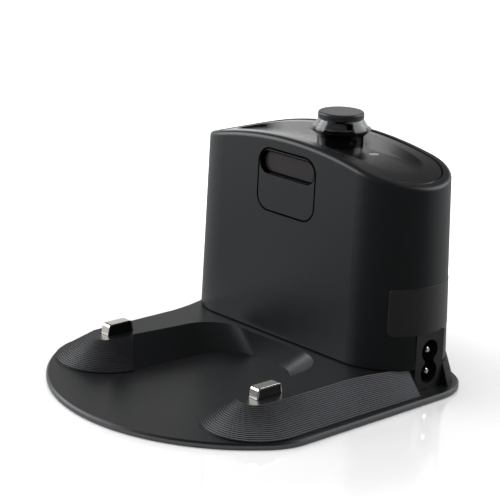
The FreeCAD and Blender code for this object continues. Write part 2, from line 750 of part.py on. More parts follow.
def bay_wire(share, z):
    # outline of the caster bay from its floor (share 0) to the top of its walls (share 1)
    step = (number("arm_foot_radius") - number("arm_top_radius")) / number("terrace_count")
    half = number("arm_centre") - mix(number("arm_foot_radius"), number("arm_top_radius"), share) + step
    narrow = half - mix(number("bay_floor_taper"), number("bay_taper"), share)
    front = mix(-number("bay_lead"), number("bay_lead_back"), share) - number("arm_front")
    back = mix(number("bay_back"), number("bay_back") + number("bay_wall_lean"), share)
    radius = number("bay_corner_radius")
    corner_y = back - radius
    slant = math.sqrt(0.5)
    right = [vector(half, front, z), vector(narrow, corner_y, z),
             vector(narrow - radius * (1 - slant), back - radius * (1 - slant), z),
             vector(narrow - radius, back, z)]
    left = [vector(-p.x, p.y, z) for p in right]
    return Part.Wire([
        Part.LineSegment(left[0], right[0]).toShape(), Part.LineSegment(right[0], right[1]).toShape(),
        Part.Arc(right[1], right[2], right[3]).toShape(), Part.LineSegment(right[3], left[3]).toShape(),
        Part.Arc(left[3], left[2], left[1]).toShape(), Part.LineSegment(left[1], left[0]).toShape()])


def arm_wire(sign, radius, z):
    # a slot-shaped outline along one arm, round at the front, open into the tower room at the back
    x = sign * number("arm_centre")
    front, back = -number("arm_front"), number("tower_y")
    return Part.Wire([
        Part.Arc(vector(x - radius, front, z), vector(x, front - radius, z),
                 vector(x + radius, front, z)).toShape(),
        Part.LineSegment(vector(x + radius, front, z), vector(x + radius, back, z)).toShape(),
        Part.LineSegment(vector(x + radius, back, z), vector(x - radius, back, z)).toShape(),
        Part.LineSegment(vector(x - radius, back, z), vector(x - radius, front, z)).toShape()])


def stadium_solid(radius, bottom, top):
    half, y = number("tower_end_centre"), number("tower_y")
    block = Part.makeBox(2 * half, 2 * radius, top - bottom, vector(-half, y - radius, bottom))
    ends = [Part.makeCylinder(radius, top - bottom, vector(sign * half, y, bottom)) for sign in (1, -1)]
    return block.multiFuse(ends).removeSplitter()


def deck_shape():
    foot, plate_top, ridge_top = number("foot_height"), number("plate_top"), number("ridge_top")
    ledge, ceiling = number("ledge_z"), number("ceiling_z")
    count = int(number("terrace_count"))
    step = number("ridge_height") / count
    plate = plate_solid(foot, number("plate_thickness"))
    rim = [edge for edge in plate.Edges if edge.BoundBox.ZMin > plate_top - 1e-6]
    plate = plate.makeChamfer(number("rim_chamfer"), rim)
    terraces = [prism(ridge_outline(layer / (count - 1), plate_top), step * (layer + 1))
                for layer in range(count)]
    reach = 1 + 1 / count
    bay_top = bay_wire(reach, mix(plate_top, ridge_top, reach))
    bay = Part.makeLoft([bay_wire(0, plate_top), bay_top], True, True)
    ridge = terraces[0].multiFuse(terraces[1:]).cut(bay)
    opening = number("opening_radius")
    lip = stadium_solid(opening + number("locating_lip_width"), ridge_top - step,
                        ridge_top + number("locating_lip_height"))
    deck = plate.multiFuse([ridge, lip])

    # hollow arms, a step for the bottom cover and the opening under the tower
    wall = number("deck_wall")
    cover_ledge = number("cover_ledge")
    foot_radius = number("arm_foot_radius") - wall
    top_radius = number("arm_top_radius") - wall
    hollow = [stadium_solid(opening, -foot, 2 * ridge_top),
              stadium_solid(opening + cover_ledge, -foot, ledge)]
    for sign in (1, -1):
        hollow.append(prism(arm_wire(sign, foot_radius, -foot), ledge + foot))
        hollow.append(Part.makeLoft([arm_wire(sign, foot_radius - cover_ledge, ledge),
                                     arm_wire(sign, top_radius, ceiling)], True, True))
    deck = deck.cut(hollow[0].multiFuse(hollow[1:]))

    # guides that stop each contact slider fore and aft, screw bosses, the tabs under the tower bosses and the
    # relief of the locating lip around those bosses
    added = []
    holes = []
    contact_y = number("contact_y")
    gap = number("slide_gap")
    thick, guide = number("guide_thickness"), number("guide_height + contact_travel")
    width = number("slider_width")
    for sign in (1, -1):
        x = sign * number("arm_centre")
        for end in (1, -1):
            near = contact_y + end * (number("slider_length") / 2 + gap)
            low = min(near, near + end * thick)
            added.append(Part.makeBox(width, thick, guide,
                                      vector(x - width / 2, low, ceiling - guide + wall / 2)))
        slot_width, slot_length = number("contact_width") + 2 * gap, number("contact_foot_length") + 2 * gap
        slot_corner = vector(x - slot_width / 2, contact_y - slot_length / 2, ceiling - wall / 2)
        holes.append(Part.makeBox(slot_width, slot_length, 2 * wall, slot_corner))
        boss = number("boss_radius")
        boss_z = number("cup_top + fit_gap")
        rear_x, rear_y = sign * number("rear_screw_x"), number("rear_screw_y")
        added.append(Part.makeCylinder(boss, ceiling + wall / 2 - boss_z,
                                       vector(x, number("arm_screw_y"), boss_z)))
        added.append(Part.makeCylinder(boss, ridge_top - boss_z, vector(rear_x, rear_y, boss_z)))
        added.append(Part.makeBox(2 * boss, number("rear_screw_inset") + wall / 2, ridge_top - boss_z,
                                  vector(rear_x - boss, rear_y, boss_z)))
        for screw_x, screw_y in ((x, number("arm_screw_y")), (rear_x, rear_y)):
            holes.append(Part.makeCylinder(number("screw_radius + fit_gap"),
                                           number("screw_length - cup_height + fit_gap"),
                                           vector(screw_x, screw_y, number("cup_top"))))
        for end in (1, -1):
            tab = vector(sign * number("boss_x"), number("tower_y") + end * number("boss_dy"),
                         number("tab_bottom"))
            added.append(Part.makeCylinder(number("tab_radius"), number("tab_thickness"), tab))
            holes.append(Part.makeCylinder(number("screw_radius + fit_gap"), 4 * number("tab_thickness"),
                                           tab - vector(0, 0, number("tab_thickness"))))
            holes.append(Part.makeCylinder(number("screw_head_radius") + gap, tab.z - ledge,
                                           vector(tab.x, tab.y, ledge)))
            holes.append(Part.makeCylinder(boss + gap, 2 * number("locating_lip_height"),
                                           vector(tab.x, tab.y, ridge_top)))
    notch = Part.makeBox(2 * number("inlet_depth"), number("inlet_width") + 2 * number("fit_gap"),
                         2 * ridge_top, vector(number("inlet_face - inlet_depth"),
                                               number("inlet_y - inlet_width / 2 - fit_gap"), plate_top))
    holes.append(notch)
    return deck.multiFuse(added).cut(holes[0].multiFuse(holes[1:])).removeSplitter()


base_deck = doc.addObject("Part::Feature", "base_deck")
base_deck.Shape = deck_shape()
base_deck.Placement = FreeCAD.Placement()
finish(base_deck, "base_deck")

# Bottom cover: U-shaped plate with board posts and spring posts
plate_radius = "(arm_foot_radius - deck_wall - slide_gap)"
cover_pieces = [stadium("cover_centre", "tower_end_centre", "opening_radius + cover_ledge - slide_gap",
                        "foot_height", "cover_plate_thickness")]
cover_cuts = []
screw_places = []
for sign in ("1", "-1"):
    tag = "right" if sign == "1" else "left"
    arm_x = f"{sign} * arm_centre"
    cover_pieces.append(box(f"cover_arm_{tag}", f"2 * {plate_radius}", "tower_y + arm_front",
                            "cover_plate_thickness", arm_x, "(tower_y - arm_front) / 2", "foot_height"))
    cover_pieces.append(cylinder(f"cover_tip_{tag}", plate_radius, "cover_plate_thickness", arm_x,
                                 "-arm_front",
                                 "foot_height"))
    cover_pieces.append(cylinder(f"spring_post_{tag}", "spring_post_radius", "spring_post_height", arm_x,
                                 "contact_y", "cover_top"))
    for spot, x, y in (("arm", arm_x, "arm_screw_y"), ("rear", f"{sign} * rear_screw_x", "rear_screw_y")):
        screw_places.append((x, y))
        cover_pieces.append(cylinder(f"{spot}_cup_{tag}", "cup_radius", "cup_height + 0.5", x, y,
                                     "cover_top - 0.5"))
        cover_cuts.append(cylinder(f"{spot}_hole_{tag}", "screw_radius + fit_gap", "2 * cup_top", x, y, "0"))
        cover_cuts.append(cylinder(f"{spot}_recess_{tag}", "screw_head_radius + fit_gap", "cover_top", x, y,
                                   "0"))
board_corners = []
for i, (side, end) in enumerate(corners):
    x = f"board_x + {side} * (board_length / 2 - board_hole_inset)"
    y = f"board_y + {end} * (board_width / 2 - board_hole_inset)"
    board_corners.append((x, y))
    cover_pieces.append(cylinder(f"board_post_{i}", "board_post_radius", "board_post_height + 0.5", x, y,
                                 "cover_top - 0.5"))
    cover_cuts.append(cylinder(f"board_pilot_{i}", "screw_radius + fit_gap", "small_screw_length", x, y,
                               "board_top - small_screw_length"))
inlet_shelf = box("inlet_shelf", "inlet_depth / 2", "inlet_width / 2", "plate_top - cover_top + 0.5",
                  "inlet_face - inlet_depth / 2", "inlet_y", "cover_top - 0.5")
cover_trim = fuse("cover_trim", *cover_pieces, inlet_shelf)
finish(cut("bottom_cover", cover_trim, *cover_cuts), "bottom_cover")

# Rubber feet and the screws from below
feet_places = [("1 * arm_centre", "-arm_front"), ("-1 * arm_centre", "-arm_front"),
               ("1 * arm_centre", "tower_y"), ("-1 * arm_centre", "tower_y"),
               ("1 * arm_centre / 2", "-base_front + 4 * foot_radius"),
               ("-1 * arm_centre / 2", "-base_front + 4 * foot_radius")]
finish(group("rubber_feet", [cylinder(f"foot_{i}", "foot_radius", "foot_height", x, y, "0")
                             for i, (x, y) in enumerate(feet_places)]), "rubber_feet")
finish(group("cover_screws", [screw(f"cover_screw_{i}", "screw_length - cup_height", x, y,
                                    "cup_top - cup_height")
                              for i, (x, y) in enumerate(screw_places)]), "cover_screws")
finish(group("tower_screws", [screw(f"tower_screw_{i}", "screw_length", f"{side} * boss_x",
                                    f"tower_y + {end} * boss_dy", "tab_bottom")
                              for i, (side, end) in enumerate(corners)]), "tower_screws")

# Charging contacts: bent strips on sprung carriers
contact_top = "(ridge_top + contact_rise)"
leg_end = "(slider_top - slider_leg_depth)"
top_half = "contact_top_length / 2"
for sign, side in (("1", "right"), ("-1", "left")):
    arm_x = f"{sign} * arm_centre"
    strip = doc.addObject("PartDesign::Body", f"contact_strip_{side}")
    outline = polygon_sketch(strip, f"contact_outline_{side}", "YZ_Plane", [
        ("-leg_half", leg_end), ("-leg_half", "ridge_top"), (f"-{top_half}", contact_top),
        (top_half, contact_top), ("leg_half", "ridge_top"), ("leg_half", leg_end),
        ("leg_half - contact_thickness", leg_end), ("leg_half - contact_thickness", "ridge_top"),
        (f"{top_half} - contact_thickness", f"{contact_top} - contact_thickness"),
        (f"-({top_half} - contact_thickness)", f"{contact_top} - contact_thickness"),
        ("-(leg_half - contact_thickness)", "ridge_top"), ("-(leg_half - contact_thickness)", leg_end)])
    pad(strip, outline, "contact_width", symmetric=True)
    place(strip, arm_x, "contact_y", "0")
    doc.recompute()
    outer_z, inner_z = number(contact_top), number(f"{contact_top} - contact_thickness")

    def outer_bend(edge):
        return runs_along(vector(1, 0, 0))(edge) and abs(edge.CenterOfMass.z - outer_z) < 1e-4

    def inner_bend(edge):
        return runs_along(vector(1, 0, 0))(edge) and abs(edge.CenterOfMass.z - inner_z) < 1e-4

    bent = rounded(f"contact_bent_{side}", strip, "contact_bend", outer_bend)
    finish(rounded(f"contact_{side}", bent, "contact_bend - contact_thickness", inner_bend),
           f"contact_{side}")

    core_body = doc.addObject("PartDesign::Body", f"contact_core_{side}")
    core_outline = polygon_sketch(core_body, f"core_outline_{side}", "YZ_Plane", [
        ("-core_half", leg_end), ("-core_half", "ridge_top"),
        (f"-({top_half} - contact_thickness)", f"{contact_top} - contact_thickness"),
        (f"{top_half} - contact_thickness", f"{contact_top} - contact_thickness"),
        ("core_half", "ridge_top"), ("core_half", leg_end)])
    pad(core_body, core_outline, "contact_width - 2 * fit_gap", symmetric=True)
    place(core_body, arm_x, "contact_y", "0")
    core = rounded(f"core_{side}", core_body, "contact_bend", inner_bend)
    block = box(f"carrier_block_{side}", "slider_width", "slider_length", "slider_height", arm_x,
                "contact_y",
                "slider_top - slider_height")
    carrier = fuse(f"carrier_{side}", block, core)
    slits = [box(f"slit_{side}_{end}", "contact_width", "contact_thickness", "2 * slider_leg_depth", arm_x,
                 f"contact_y + {turn} * (leg_half - contact_thickness / 2)", leg_end)
             for end, turn in (("back", "1"), ("front", "-1"))]
    pocket = cylinder(f"spring_pocket_{side}", "spring_radius + spring_wire_radius + slide_gap",
                      "2 * spring_pocket_depth", arm_x, "contact_y",
                      "slider_top - slider_height - spring_pocket_depth")
    finish(cut(f"contact_slider_{side}", carrier, pocket, *slits), f"contact_slider_{side}")

    spring_length = "(slider_top - slider_height + spring_pocket_depth - cover_top)"
    coil = doc.addObject("Part::Helix", f"coil_{side}")
    bind(coil, {"Pitch": f"({spring_length} - 2 * spring_wire_radius) / spring_turns",
                "Height": f"{spring_length} - 2 * spring_wire_radius", "Radius": "spring_radius"})
    place(coil, arm_x, "contact_y", "cover_top + spring_wire_radius")
    wire = doc.addObject("Part::RegularPolygon", f"spring_wire_{side}")
    bind(wire, {"Polygon": "spring_wire_sides", "Circumradius": "spring_wire_radius"})
    wire.Placement = FreeCAD.Placement(vector(0, 0, 0), axis_turns["y"])
    place(wire, f"{arm_x} + spring_radius", "contact_y", "cover_top + spring_wire_radius")
    spring = doc.addObject("Part::Sweep", f"contact_spring_{side}")
    spring.Sections = [wire]
    spring.Spine = (coil, ["Edge1"])
    spring.Solid = True
    spring.Frenet = True
    finish(spring, f"contact_spring_{side}")

# Mains inlet: block with a figure-8 socket and two pins
pin_rows = ("1", "-1")
sockets = [cylinder(f"socket_{i}", "inlet_socket_radius", "2 * inlet_socket_depth",
                    "inlet_face - inlet_socket_depth",
                    "inlet_y", f"inlet_z + {row} * inlet_pin_spacing / 2", "x") for i,
                    row in enumerate(pin_rows)]
waist = box("socket_waist", "2 * inlet_socket_depth", "inlet_waist", "inlet_pin_spacing", "inlet_face",
            "inlet_y",
            "inlet_z - inlet_pin_spacing / 2")
pin_holes = [cylinder(f"pin_hole_{i}", "inlet_tail_radius", "2 * inlet_depth",
                      "inlet_face - 3 * inlet_depth / 2",
                      "inlet_y", f"inlet_z + {row} * inlet_pin_spacing / 2", "x") for i,
                      row in enumerate(pin_rows)]
finish(cut("inlet_body",
           box("inlet_block", "inlet_depth", "inlet_width", "inlet_top - plate_top",
               "inlet_face - inlet_depth / 2", "inlet_y", "plate_top"), *sockets, waist, *pin_holes),
               "inlet_body")
pin_profile = [("0", "0"), ("inlet_tail_radius", "0"), ("inlet_tail_radius", "pin_neck"),
               ("inlet_pin_radius", "pin_neck"), ("inlet_pin_radius", "pin_length - inlet_pin_tip"),
               ("inlet_pin_radius - inlet_pin_tip", "pin_length"), ("0", "pin_length")]
inlet_pins = []
for i, row in enumerate(pin_rows):
    inlet_pin = turned(f"inlet_pin_{i}", pin_profile)
    inlet_pin.Placement = FreeCAD.Placement(FreeCAD.Vector(), axis_turns["x"])
    place(inlet_pin, "pin_seat", "inlet_y", f"inlet_z + {row} * inlet_pin_spacing / 2")
    inlet_pins.append(inlet_pin)
finish(group("inlet_pins", inlet_pins), "inlet_pins")

# Power supply board and its parts
board_holes = [cylinder(f"board_hole_{i}", "screw_radius + fit_gap", "3 * board_thickness", x, y,
                        "board_bottom - board_thickness") for i, (x, y) in enumerate(board_corners)]
finish(cut("power_board", box("power_board_blank", "board_length", "board_width", "board_thickness",
                              "board_x",
                              "board_y", "board_bottom"), *board_holes), "power_board")
transformer_x, transformer_y = "(board_x + transformer_dx)", "(board_y + transformer_dy)"
core = box("transformer_core", "transformer_length", "transformer_width", "transformer_height",
           transformer_x,
           transformer_y, "board_top")
core_gap = box("transformer_gap", "transformer_length - 2 * winding_margin", "2 * transformer_width",
               "transformer_height - 2 * winding_margin", transformer_x, transformer_y,
               "board_top + winding_margin")
winding = cylinder("transformer_winding", "transformer_length / 2 - winding_margin - slide_gap",
                   "transformer_height - winding_margin", transformer_x, transformer_y,
                   "board_top + winding_margin / 2")
finish(fuse("transformer", cut("transformer_frame", core, core_gap), winding), "transformer")
finish(cylinder("bulk_capacitor", "bulk_capacitor_radius", "bulk_capacitor_height",
                "board_x + bulk_capacitor_dx", "board_y + bulk_capacitor_dy", "board_top"), "bulk_capacitor")
finish(cylinder("output_capacitor", "output_capacitor_radius", "output_capacitor_height",
                "board_x + output_capacitor_dx", "board_y + output_capacitor_dy", "board_top"),
                "output_capacitor")
finish(turned("line_choke", [
    ("choke_bore", "choke_edge"), ("choke_bore + choke_edge", "0"), ("choke_radius - choke_edge", "0"),
    ("choke_radius", "choke_edge"), ("choke_radius", "choke_height - choke_edge"),
    ("choke_radius - choke_edge", "choke_height"), ("choke_bore + choke_edge", "choke_height"),
    ("choke_bore", "choke_height - choke_edge")], "board_x + choke_dx", "board_y + choke_dy", "board_top"),
    "line_choke")
finish(cylinder("fuse", "fuse_radius", "fuse_length", "board_x + fuse_dx - fuse_length / 2",
                "board_y + fuse_dy",
                "board_top + fuse_radius", "x"), "fuse")
finish(box("rectifier", "rectifier_length", "rectifier_width", "rectifier_height", "board_x + rectifier_dx",
           "board_y + rectifier_dy", "board_top"), "rectifier")
sink_x, sink_y = "(board_x + heat_sink_dx)", "(board_y + heat_sink_dy)"
sink_plate = box("sink_plate", "heat_sink_length", "heat_sink_thickness", "heat_sink_height", sink_x,
                 sink_y, "board_top")
fins = [box(f"fin_{i}", "fin_thickness", "fin_depth", "heat_sink_height",
            f"{sink_x} + ({i} / (fin_count - 1) - 0.5) * (heat_sink_length - fin_thickness)",
            f"{sink_y} + (heat_sink_thickness + fin_depth) / 2 - fit_gap", "board_top")
        for i in range(int(number("fin_count")))]
finish(fuse("heat_sink", sink_plate, *fins), "heat_sink")
finish(box("switch_transistor", "transistor_width", "transistor_thickness", "transistor_height", sink_x,
           f"{sink_y} - (heat_sink_thickness + transistor_thickness) / 2", "board_top"), "switch_transistor")
finish(box("output_connector", "connector_width", "connector_length", "connector_height",
           "board_x + connector_dx",
           "board_y", "board_top"), "output_connector")

# Screws of the three boards
downwards = FreeCAD.Rotation(FreeCAD.Vector(1, 0, 0), 180)
small_screws = [screw(f"power_board_screw_{i}", "small_screw_length", x, y, "board_top", downwards)
                for i, (x, y) in enumerate(board_corners)]
small_screws += [screw(f"beacon_board_screw_{i}", "small_screw_length", x, "beacon_y",
                       "beacon_board_top - board_thickness") for i, x in enumerate(post_places)]
for i, side in enumerate(("1", "-1")):
    forwards = screw(f"front_board_screw_{i}", "small_screw_length", f"{side} * {post_x}",
                     "tower_y - tower_end_radius + (window_z - ridge_top) * tan(tower_draft)"
                     " + (front_board_setback + board_thickness) * cos(tower_draft)"
                     f" + {post_z} * sin(tower_draft)",
                     f"window_z - (front_board_setback + board_thickness) * sin(tower_draft)"
                     f" + {post_z} * cos(tower_draft)", FreeCAD.Rotation(FreeCAD.Vector(1, 0, 0), 90))
    bind(forwards, {"Placement.Rotation.Angle": "90 - tower_draft"})
    small_screws.append(forwards)
finish(group("board_screws", small_screws), "board_screws")

# Check every object, then write one file per piece
doc.recompute()
for obj in doc.Objects:
    if "Invalid" in obj.State or "Error" in obj.State:
        raise RuntimeError(f"{obj.Label} is not built: {obj.State}")
os.makedirs("parts", exist_ok=True)
for label, obj in nodes.items():
    if obj.Shape.isNull() or not obj.Shape.isValid():
        raise RuntimeError(f"{label} has no valid shape")
    obj.Shape.exportStep(f"parts/{label}.step")
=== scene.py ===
import json
import math
import bpy
import numpy as np
from mathutils import Matrix, Vector


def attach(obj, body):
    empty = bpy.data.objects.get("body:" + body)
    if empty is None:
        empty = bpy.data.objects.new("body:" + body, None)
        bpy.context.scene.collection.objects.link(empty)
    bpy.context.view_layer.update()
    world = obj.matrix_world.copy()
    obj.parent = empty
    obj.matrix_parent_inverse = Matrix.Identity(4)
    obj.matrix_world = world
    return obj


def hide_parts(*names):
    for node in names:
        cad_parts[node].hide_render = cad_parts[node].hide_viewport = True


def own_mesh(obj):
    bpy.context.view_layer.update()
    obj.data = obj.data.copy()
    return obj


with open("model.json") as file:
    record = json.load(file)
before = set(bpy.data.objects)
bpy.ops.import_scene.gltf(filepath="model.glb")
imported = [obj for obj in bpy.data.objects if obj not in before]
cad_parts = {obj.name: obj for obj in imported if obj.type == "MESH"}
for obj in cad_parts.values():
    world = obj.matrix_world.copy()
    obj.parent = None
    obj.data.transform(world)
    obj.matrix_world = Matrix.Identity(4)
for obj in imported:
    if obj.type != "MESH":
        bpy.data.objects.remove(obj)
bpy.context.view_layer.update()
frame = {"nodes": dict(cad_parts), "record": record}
scene = bpy.context.scene
print("stage: frame loaded,", len(frame["nodes"]), "nodes")


# Node helpers
mixSockets = {"RGBA": (6, 7, 2), "VECTOR": (4, 5, 1)}  # a Mix node's two inputs and its result


def addNode(tree, kind, **values):
    node = tree.nodes.new(kind)
    for name, value in values.items():
        setattr(node, name, value)
    return node


def feed(tree, target, name, source):
    # joins an output to an input, or sets a plain value on it
    socket = target.inputs[name]
    if isinstance(source, bpy.types.NodeSocket):
        tree.links.new(source, socket)
    else:
        socket.default_value = source


def feedAll(tree, target, sources):
    for name, source in sources.items():
        feed(tree, target, name, source)


def mathNode(tree, operation, first, second=0.0):
    node = addNode(tree, "ShaderNodeMath", operation=operation)
    feedAll(tree, node, {0: first, 1: second})
    return node.outputs[0]


def product(tree, factors):
    result = factors[0]
    for factor in factors[1:]:
        result = mathNode(tree, "MULTIPLY", result, factor)
    return result


def vectorMath(tree, operation, *vectors):
    node = addNode(tree, "ShaderNodeVectorMath", operation=operation)
    feedAll(tree, node, dict(enumerate(vectors)))
    return node.outputs["Vector" if operation == "NORMALIZE" else "Value"]


def split(tree, vector):
    node = addNode(tree, "ShaderNodeSeparateXYZ")
    feed(tree, node, "Vector", vector)
    return node.outputs


def objectSpot(tree):
    return addNode(tree, "ShaderNodeTexCoord").outputs["Object"]


def ramp(tree, value, low, high, start, end):
    # smooth change from start to end while the value goes from low to high
    node = addNode(tree, "ShaderNodeMapRange", interpolation_type="SMOOTHSTEP")
    feedAll(tree, node, {"Value": value, "From Min": low, "From Max": high, "To Min": start, "To Max": end})
    return node.outputs["Result"]


def blend(tree, share, first, second, kind="RGBA"):
    node = addNode(tree, "ShaderNodeMix", data_type=kind)
    firstPlace, secondPlace, resultPlace = mixSockets[kind]
    feedAll(tree, node, {0: share, firstPlace: first, secondPlace: second})
    return node.outputs[resultPlace]


def noise(tree, vector, scale, detail):
    node = addNode(tree, "ShaderNodeTexNoise")
    feedAll(tree, node, {"Vector": vector, "Scale": scale, "Detail": detail})
    return node.outputs["Fac"]


def newGroup(name, inputs, outputs):
    # inputs give each value that a material may leave out, outputs give each kind of socket
    tree = bpy.data.node_groups.new(name, "ShaderNodeTree")
    for label, value in inputs.items():
        kind = "NodeSocketVector" if isinstance(value, tuple) else "NodeSocketFloat"
        socket = tree.interface.new_socket(name=label, in_out="INPUT", socket_type=kind)
        socket.default_value = value
    for label, kind in outputs.items():
        tree.interface.new_socket(name=label, in_out="OUTPUT", socket_type=kind)
    return tree, addNode(tree, "NodeGroupInput").outputs, addNode(tree, "NodeGroupOutput")


def useGroup(tree, group, **values):
    node = addNode(tree, "ShaderNodeGroup", node_tree=group)
    feedAll(tree, node, values)
    return node.outputs


# Moulded grain: a fine noise raises the surface, a broad noise shifts its roughness
grainSizes = {"depth": 0.0002, "fineDetail": 2.0, "broadScale": 45.0, "broadDetail": 3.0, "broadMiddle": 0.5}
grain, grainIn, grainOut = newGroup(
    "moulded grain",
    {"Scale": 1500.0, "Height": 0.1, "Rough": 0.4, "Spread": 0.05, "Facing": (0, 0, 1)},
    {"Normal": "NodeSocketVector", "Roughness": "NodeSocketFloat"})
grainSpot = objectSpot(grain)
raised = addNode(grain, "ShaderNodeBump")
feedAll(grain, raised, {
    "Height": noise(grain, grainSpot, grainIn["Scale"], grainSizes["fineDetail"]),
    "Strength": grainIn["Height"],
    "Distance": grainSizes["depth"],
    "Normal": grainIn["Facing"],
})
broad = noise(grain, grainSpot, grainSizes["broadScale"], grainSizes["broadDetail"])
shift = product(grain, [mathNode(grain, "SUBTRACT", broad, grainSizes["broadMiddle"]), grainIn["Spread"]])
feed(grain, grainOut, "Normal", raised.outputs["Normal"])
feed(grain, grainOut, "Roughness", mathNode(grain, "ADD", grainIn["Rough"], shift))

# Cross recess: the union of two crossed bars about one axis and its mirror image in x
cross, crossIn, crossOut = newGroup(
    "cross recess",
    {"CentreX": 0.0437, "CentreY": 0.006, "Reach": 0.0015, "Half": 0.0004},
    {"Mask": "NodeSocketFloat"})
crossX, crossY, _ = split(cross, objectSpot(cross))
offX = mathNode(cross, "SUBTRACT", mathNode(cross, "ABSOLUTE", crossX), crossIn["CentreX"])
offX = mathNode(cross, "ABSOLUTE", offX)
offY = mathNode(cross, "ABSOLUTE", mathNode(cross, "SUBTRACT", crossY, crossIn["CentreY"]))
inReach = mathNode(cross, "LESS_THAN", mathNode(cross, "MAXIMUM", offX, offY), crossIn["Reach"])
inBar = mathNode(cross, "LESS_THAN", mathNode(cross, "MINIMUM", offX, offY), crossIn["Half"])
feed(cross, crossOut, "Mask", product(cross, [inReach, inBar]))

# Window seam: the band about a rounded rectangle in x and z; the distance from its edge is the length of the
# part beyond the corner's centre, less the corner's radius
seamSizes = {
    "Height": 0.074, "HalfX": 0.01575, "HalfZ": 0.01225, "Corner": 0.006,
    "Inner": -0.0002, "Outer": 0.0006,  # the band's two edges
    "Front": 0.032,  # nothing behind this is marked
}
seam, seamIn, seamOut = newGroup("window seam", seamSizes, {"Mask": "NodeSocketFloat"})
seamX, seamY, seamZ = split(seam, objectSpot(seam))
beyond = addNode(seam, "ShaderNodeCombineXYZ")
for axis, side, value in (("X", "HalfX", seamX),
                          ("Z", "HalfZ", mathNode(seam, "SUBTRACT", seamZ, seamIn["Height"]))):
    inset = mathNode(seam, "SUBTRACT", seamIn[side], seamIn["Corner"])
    past = mathNode(seam, "SUBTRACT", mathNode(seam, "ABSOLUTE", value), inset)
    feed(seam, beyond, axis, mathNode(seam, "MAXIMUM", past, 0.0))
offEdge = mathNode(seam, "SUBTRACT", vectorMath(seam, "LENGTH", beyond.outputs["Vector"]), seamIn["Corner"])
feed(seam, seamOut, "Mask", product(seam, [
    mathNode(seam, "GREATER_THAN", offEdge, seamIn["Inner"]),
    mathNode(seam, "LESS_THAN", offEdge, seamIn["Outer"]),
    mathNode(seam, "LESS_THAN", seamY, seamIn["Front"]),
]))

# Studio glow in reflections: bright all round but for one dim side, fading upward
glowSizes = {
    "dimSide": (0.766, -0.643, 0.0),
    "sideways": (-0.2, 0.56, 1.0, 0.04),  # how far a ray turns to the dim side, brightness at each
    "upward": (0.27, 0.46, 0.82, 0.05),  # how far it rises, brightness at each
}
glow, glowIn, glowOut = newGroup("studio glow", {"Direction": (0, 0, 0)}, {"Value": "NodeSocketFloat"})
toward = vectorMath(glow, "NORMALIZE", glowIn["Direction"])
facingDim = vectorMath(glow, "DOT_PRODUCT", toward, glowSizes["dimSide"])
feed(glow, glowOut, "Value", product(glow, [
    ramp(glow, facingDim, *glowSizes["sideways"]),
    ramp(glow, split(glow, toward)[2], *glowSizes["upward"]),
]))

# Finishes
finishSizes = {
    "bevelSamples": 8, "coatRough": 0.2, "clearIor": 1.49,
    "metalGrain": {"scale": 2500.0, "height": 0.06, "spread": 0.08},
}


def nodesOf(look):
    return look.node_tree, look.node_tree.nodes["Principled BSDF"]


def newLook(name):
    look = bpy.data.materials.new(name)
    look.use_nodes = True
    return look, *nodesOf(look)


def moulded(name, colour, rough, scale=1500.0, height=0.1, spread=0.05, coat=0.0, edge=0.0,
            tint=(1.0, 1.0, 1.0)):
    # edge is the radius to which sharp corners look rounded
    look, tree, shader = newLook(name)
    if edge:
        facing = addNode(tree, "ShaderNodeBevel", samples=finishSizes["bevelSamples"])
        feed(tree, facing, "Radius", edge)
    else:
        facing = addNode(tree, "ShaderNodeNewGeometry")
    texture = useGroup(tree, grain, Scale=scale, Height=height, Rough=rough, Spread=spread,
                       Facing=facing.outputs["Normal"])
    feedAll(tree, shader, {
        "Base Color": (*colour, 1),
        "Roughness": texture["Roughness"],
        "Normal": texture["Normal"],
        "Specular Tint": (*tint, 1),
        "Coat Weight": coat,
        "Coat Roughness": finishSizes["coatRough"],
    })
    return look


def metal(name, colour, rough, edge=0.0):
    look = moulded(name, colour, rough, edge=edge, **finishSizes["metalGrain"])
    tree, shader = nodesOf(look)
    feed(tree, shader, "Metallic", 1.0)
    return look


def clear(name, colour, rough, weight=1.0):
    look, tree, shader = newLook(name)
    feedAll(tree, shader, {"Base Color": (*colour, 1), "Roughness": rough, "IOR": finishSizes["clearIor"],
                           "Transmission Weight": weight})
    return look


